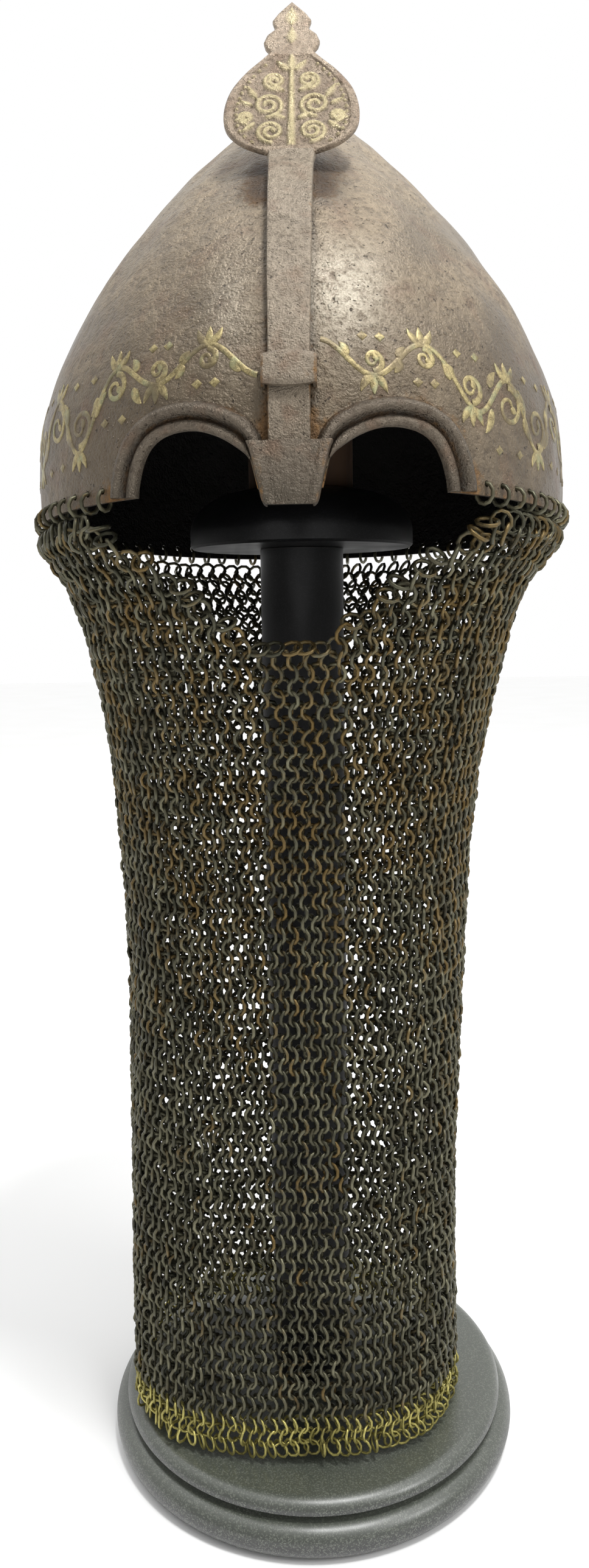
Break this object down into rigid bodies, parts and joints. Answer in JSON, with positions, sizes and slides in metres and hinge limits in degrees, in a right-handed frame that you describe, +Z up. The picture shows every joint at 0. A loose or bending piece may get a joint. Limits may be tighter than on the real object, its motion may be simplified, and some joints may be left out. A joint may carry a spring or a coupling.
{
  "type": "conical helmet with mail curtain on stand",
  "caption": "Pointed iron helmet with eye arches, a sliding nasal bar with a finial plate, and a long mail curtain hung from its pierced rim, shown on a turned black stand.",
  "frame": {"origin": "middle of the flat underside of the stand's foot", "axes": "+Z up, front of the helmet towards -Y, +X to the right as seen from the front"},
  "size_m": [0.2171, 0.2299, 0.6057],
  "materials": {
    "skull_iron": "pitted, warm grey-brown patina with gilt scrollwork and rust",
    "bright_iron": "worn bright with rust in the grooves",
    "mail_iron": "dark oiled wire with scattered rust",
    "mail_brass": "dull old brass wire",
    "stand_black": "satin black paint with a fine speckle",
    "block_wood": "raw brown wood"
  },
  "bodies": {
    "helmet": {"skull": "skull_iron", "brow_guard": "bright_iron", "nasal_staple": "skull_iron", "crown_stub": "skull_iron", "mail_curtain": "mail_iron", "mail_hem": "mail_brass", "stand_foot": "stand_black", "stand_post": "stand_black", "stand_cap": "stand_black", "stand_block": "block_wood"},
    "nasal": {"nasal_bar": "bright_iron"}
  },
  "joints": [
    {"name": "nasal_slide", "type": "hinge", "parent": "helmet", "child": "nasal", "pos_m": [0, 0.05109, 0.41293], "axis": [1, 0, 0], "range_deg": [0, 14]}
  ]
}
